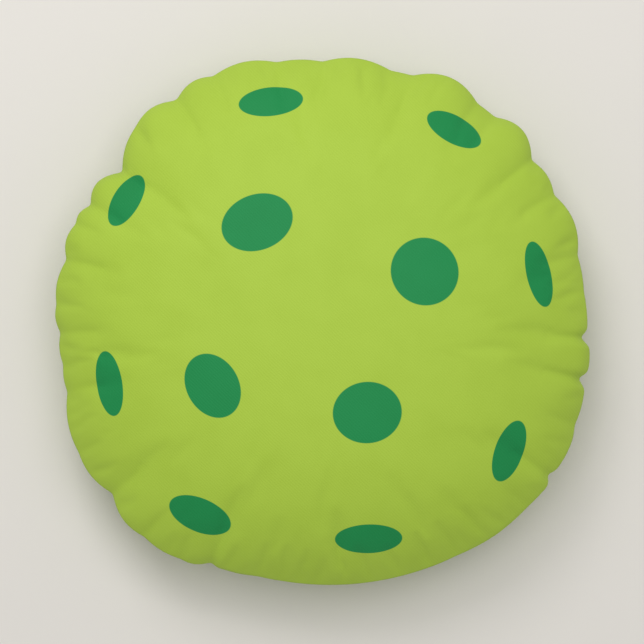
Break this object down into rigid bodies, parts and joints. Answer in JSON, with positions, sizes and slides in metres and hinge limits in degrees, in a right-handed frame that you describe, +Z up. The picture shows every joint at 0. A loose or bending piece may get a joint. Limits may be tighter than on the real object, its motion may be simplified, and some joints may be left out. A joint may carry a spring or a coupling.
{
  "type": "round throw pillow",
  "caption": "Plump round throw pillow with a puckered seamed rim, a concealed zip in the rim and a separate stuffed insert.",
  "frame": {"origin": "centre of the pillow's footprint, on the surface that it lies on", "axes": "+Z up through the crown of the printed front panel; +X to the right and +Y to the top of the print; the zip is in the rim on the -Y side"},
  "size_m": [0.3752, 0.373, 0.116],
  "materials": {
    "cover_cloth": "brushed polyester, lime green with dark green printed spots",
    "cover_thread": "spun polyester sewing thread, lime green",
    "label_satin": "woven satin ribbon, white and blank",
    "zip_tape": "woven polyester zip tape, lime green",
    "zip_coil": "nylon monofilament coil, lime green",
    "zip_metal": "lime green enamel on die-cast zinc",
    "casing_cloth": "white spun-bonded cloth",
    "casing_thread": "white spun polyester thread",
    "fibre_fill": "white hollow polyester fibre, stuffed"
  },
  "bodies": {
    "pillow": {"cover_front_panel": "cover_cloth", "cover_back_panel": "cover_cloth", "cover_seam_thread": "cover_thread", "cover_care_label": "label_satin", "zipper_tape_front": "zip_tape", "zipper_tape_back": "zip_tape", "zipper_coil_front": "zip_coil", "zipper_coil_back": "zip_coil", "zipper_stitching_front": "cover_thread", "zipper_stitching_back": "cover_thread", "zipper_top_stop": "zip_metal", "zipper_bottom_stop": "zip_metal", "insert_casing_front": "casing_cloth", "insert_casing_back": "casing_cloth", "insert_seam_thread": "casing_thread", "insert_fill": "fibre_fill", "insert_law_label": "label_satin"},
    "slider": {"zipper_slider": "zip_metal"},
    "pull": {"zipper_pull": "zip_metal"}
  },
  "joints": [
    {"name": "zip_slide", "type": "hinge", "parent": "pillow", "child": "slider", "pos_m": [0.00583, 0.01786, 0.056], "axis": [0, 0, 1], "range_deg": [0, 61]},
    {"name": "pull_swing", "type": "hinge", "parent": "slider", "child": "pull", "pos_m": [-0.05337, -0.1758, 0.056], "axis": [0, 0, -1], "range_deg": [0, 160]}
  ]
}
